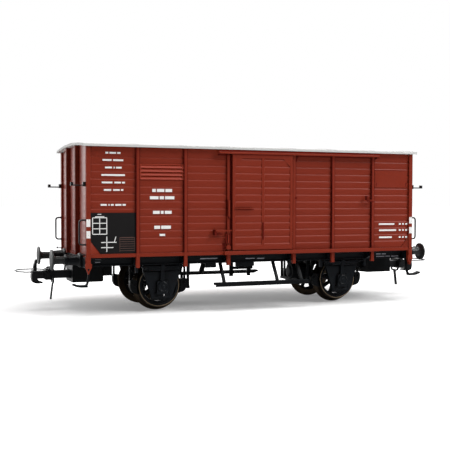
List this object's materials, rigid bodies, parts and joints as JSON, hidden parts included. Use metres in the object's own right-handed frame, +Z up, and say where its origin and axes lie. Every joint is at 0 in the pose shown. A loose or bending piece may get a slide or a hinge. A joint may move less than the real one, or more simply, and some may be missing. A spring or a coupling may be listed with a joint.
{
  "type": "model railway covered goods wagon",
  "caption": "H0 scale model of a covered goods wagon with planked body, sliding doors, arched roof, spoked wheels, buffers and loop couplers.",
  "frame": {"origin": "on the floor under the middle of the wagon, at the lowest point of the wheel flanges", "axes": "+X along the wagon towards its rear end, +Z up, -Y is the left side"},
  "size_m": [0.121, 0.0354, 0.0427],
  "materials": {
    "body_paint": "satin",
    "roof_paint": "satin",
    "underframe_black": "satin",
    "floor_brown": "matt",
    "ballast_steel": "rolled",
    "board_black": "matt",
    "axle_steel": "turned",
    "wheel_black": "satin",
    "tyre_metal": "blackened, turned",
    "buffer_metal": "satin",
    "fitting_black": "satin",
    "coupler_black": "satin",
    "coupler_metal": "blackened"
  },
  "bodies": {
    "wagon": {"roof": "roof_paint", "side_wall_left": "body_paint", "side_wall_right": "body_paint", "vent_louvres": "body_paint", "side_posts": "body_paint", "corner_posts": "body_paint", "side_sills": "body_paint", "end_posts": "body_paint", "end_sills": "body_paint", "vent_flaps": "body_paint", "end_wall_rear": "body_paint", "end_wall_front": "body_paint", "chassis_floor": "underframe_black", "ballast_plate": "ballast_steel", "load_floor": "floor_brown", "door_rails_upper": "body_paint", "door_rails_lower": "body_paint", "door_latches": "body_paint", "door_catches": "body_paint", "marking_boards": "board_black", "sole_bars": "underframe_black", "headstocks": "underframe_black", "cross_bearers": "underframe_black", "post_brackets": "underframe_black", "sole_bar_lugs": "underframe_black", "axle_guards_front": "underframe_black", "axle_guards_rear": "underframe_black", "axle_boxes_front": "underframe_black", "axle_boxes_rear": "underframe_black", "leaf_springs_front": "underframe_black", "leaf_springs_rear": "underframe_black", "spring_shackles": "underframe_black", "brake_shoes_front": "underframe_black", "brake_shoes_rear": "underframe_black", "brake_rigging": "underframe_black", "brake_cylinder": "underframe_black", "buffer_housings": "underframe_black", "buffer_heads": "buffer_metal", "draw_hooks": "underframe_black", "end_handrails": "fitting_black", "lamp_irons": "fitting_black", "rope_hooks": "fitting_black", "corner_steps": "underframe_black", "footboards": "underframe_black", "coupler_boxes": "underframe_black"},
    "door_left": {"door_left": "body_paint"},
    "door_right": {"door_right": "body_paint"},
    "wheelset_front": {"axle_front": "axle_steel", "wheel_centres_front": "wheel_black", "tyres_front": "tyre_metal"},
    "wheelset_rear": {"axle_rear": "axle_steel", "wheel_centres_rear": "wheel_black", "tyres_rear": "tyre_metal"},
    "coupler_front": {"coupler_shaft_front": "coupler_black"},
    "coupler_rear": {"coupler_shaft_rear": "coupler_black"},
    "loop_front": {"coupler_loop_front": "coupler_metal"},
    "loop_rear": {"coupler_loop_rear": "coupler_metal"}
  },
  "joints": [
    {"name": "door_left_slide", "type": "slide", "parent": "wagon", "child": "door_left", "axis": [1, 0, 0], "range_m": [0, 0.022]},
    {"name": "door_right_slide", "type": "slide", "parent": "wagon", "child": "door_right", "axis": [-1, 0, 0], "range_m": [0, 0.022]},
    {"name": "wheelset_front_turn", "type": "hinge", "parent": "wagon", "child": "wheelset_front", "pos_m": [-0.02585, 0, 0.00645], "axis": [0, 1, 0], "continuous": true},
    {"name": "wheelset_rear_turn", "type": "hinge", "parent": "wagon", "child": "wheelset_rear", "pos_m": [0.02585, 0, 0.00645], "axis": [0, 1, 0], "continuous": true},
    {"name": "coupler_front_swing", "type": "hinge", "parent": "wagon", "child": "coupler_front", "pos_m": [-0.0404, 0, 0.0092], "axis": [0, 0, 1], "range_deg": [-8, 8]},
    {"name": "coupler_rear_swing", "type": "hinge", "parent": "wagon", "child": "coupler_rear", "pos_m": [0.0404, 0, 0.0092], "axis": [0, 0, 1], "range_deg": [-8, 8]},
    {"name": "loop_front_lift", "type": "hinge", "parent": "coupler_front", "child": "loop_front", "pos_m": [-0.0519, 0, 0.0104], "axis": [0, 1, 0], "range_deg": [0, 25]},
    {"name": "loop_rear_lift", "type": "hinge", "parent": "coupler_rear", "child": "loop_rear", "pos_m": [0.0519, 0, 0.0104], "axis": [0, -1, 0], "range_deg": [0, 25]}
  ]
}
